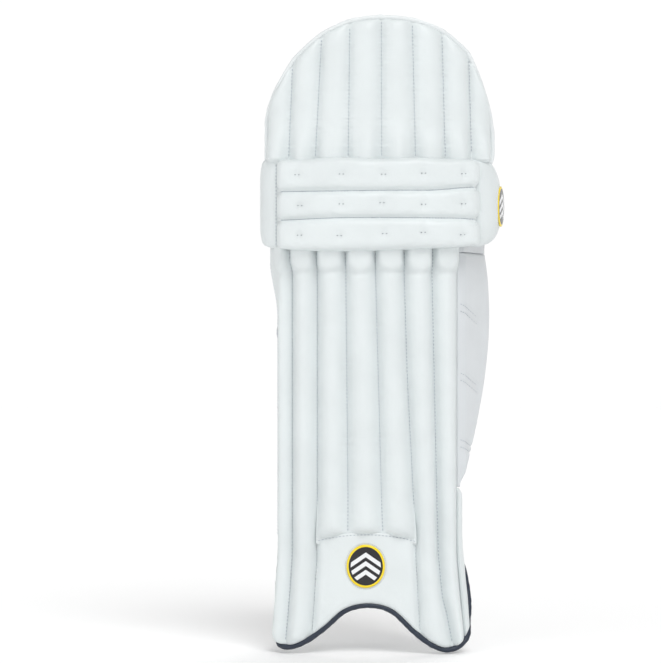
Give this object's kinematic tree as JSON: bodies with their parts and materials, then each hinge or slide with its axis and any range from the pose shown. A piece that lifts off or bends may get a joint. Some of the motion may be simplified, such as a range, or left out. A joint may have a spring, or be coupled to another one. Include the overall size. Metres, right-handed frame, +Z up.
{
  "type": "cricket batting leg pad",
  "caption": "Padded leg guard for a cricket batter: ribbed shin, knee rolls, hinged top flap, calf wing and fastening straps.",
  "frame": {"origin": "on the axis of the leg, level with the crown of the instep arch", "axes": "+Z up the leg, -Y towards the bowler (the front), +X towards the outer side of the left leg"},
  "size_m": [0.2758, 0.1871, 0.7092],
  "materials": {
    "leather": "smooth white PU leather",
    "canvas": "plain woven backing",
    "cane": "split cane and light foam strips",
    "foam": "closed-cell foam",
    "print_lining": "glossy navy PU with a dark fine print",
    "mesh_fabric": "white and navy spacer mesh",
    "piping": "navy bound edge",
    "webbing": "printed strap, white edges with a navy and yellow-green band",
    "hook_tape": "black hook tape",
    "badge": "black moulded badge with a yellow rim",
    "tab": "moulded pull tab, white and navy",
    "thread": "white stitching"
  },
  "bodies": {
    "shin_guard": {"bottom_piping": "piping", "shin_facing_inner": "leather", "shin_cane_1": "cane", "shin_facing_middle": "leather", "shin_cane_2": "cane", "shin_cane_3": "cane", "shin_cane_4": "cane", "shin_facing_outer": "leather", "shin_cane_5": "cane", "shin_cane_6": "cane", "shin_backing": "canvas", "instep_foam": "foam", "instep_facing": "leather", "inner_side_foam": "foam", "inner_side_facing": "leather", "ankle_side": "leather", "shin_cushion_cover": "print_lining", "shin_cushion_foam": "foam", "mesh_bolster_inner": "mesh_fabric", "mesh_bolster_outer": "mesh_fabric", "instep_badge": "badge", "strap_middle_loop_band": "webbing", "strap_bottom_anchor": "webbing", "strap_bottom_loop_band": "webbing"},
    "knee_roll": {"knee_roll_lower_cover": "leather", "knee_roll_lower_foam": "foam", "knee_roll_middle_cover": "leather", "knee_roll_middle_foam": "foam", "knee_roll_upper_cover": "leather", "knee_roll_upper_foam": "foam", "knee_backing": "canvas", "knee_side_inner": "leather", "knee_side_outer": "leather", "knee_badge": "badge", "knee_cup_cover": "print_lining", "knee_cup_foam": "foam", "knee_bolster_inner": "leather", "knee_bolster_outer": "leather", "strap_top_anchor": "webbing", "strap_top_loop_band": "webbing"},
    "top_flap": {"flap_facing": "leather", "flap_cane_1": "cane", "flap_cane_2": "cane", "flap_cane_3": "cane", "flap_cane_4": "cane", "flap_lining": "print_lining", "flap_piping": "leather", "flap_badge": "badge"},
    "calf_wing": {"wing_lining": "canvas", "wing_foam": "foam", "wing_facing": "leather", "strap_middle_anchor": "webbing"},
    "strap_top": {"strap_top_webbing": "webbing", "strap_top_hook_tape": "hook_tape"},
    "strap_middle": {"strap_middle_webbing": "webbing", "strap_middle_hook_tape": "hook_tape"},
    "strap_bottom": {"strap_bottom_webbing": "webbing", "strap_bottom_hook_tape": "hook_tape"},
    "pull_tab": {"pull_tab": "tab"}
  },
  "joints": [
    {"name": "knee_flex", "type": "hinge", "parent": "shin_guard", "child": "knee_roll", "pos_m": [0, -0.086, 0.3985], "axis": [-1, 0, 0], "range_deg": [0, 12], "stiffness_Nm_per_rad": 4, "springref_deg": -4.58},
    {"name": "flap_flex", "type": "hinge", "parent": "knee_roll", "child": "top_flap", "pos_m": [0, -0.088, 0.501], "axis": [-1, 0, 0], "range_deg": [0, 12]},
    {"name": "wing_open", "type": "hinge", "parent": "shin_guard", "child": "calf_wing", "pos_m": [0.0988, -0.0632, 0.26], "axis": [0, 0, -1], "range_deg": [0, 30]},
    {"name": "strap_top_open", "type": "hinge", "parent": "knee_roll", "child": "strap_top", "pos_m": [0.1321, -0.0017, 0.4368], "axis": [0, 0, -1], "range_deg": [0, 110]},
    {"name": "strap_middle_open", "type": "hinge", "parent": "calf_wing", "child": "strap_middle", "pos_m": [0.1275, 0.0388, 0.3025], "axis": [0, 0, -1], "range_deg": [0, 110]},
    {"name": "strap_bottom_open", "type": "hinge", "parent": "shin_guard", "child": "strap_bottom", "pos_m": [0.1011, -0.0196, 0.101], "axis": [0, 0, -1], "range_deg": [0, 110]},
    {"name": "tab_lift", "type": "hinge", "parent": "strap_middle", "child": "pull_tab", "pos_m": [-0.0246, 0.0687, 0.3055], "axis": [0, 0, -1], "range_deg": [0, 60]}
  ],
  "couplings": [
    {"joint": "flap_flex", "follows": "knee_flex", "ratio": 1},
    {"joint": "wing_open", "follows": "strap_middle_open", "ratio": 0.27}
  ]
}
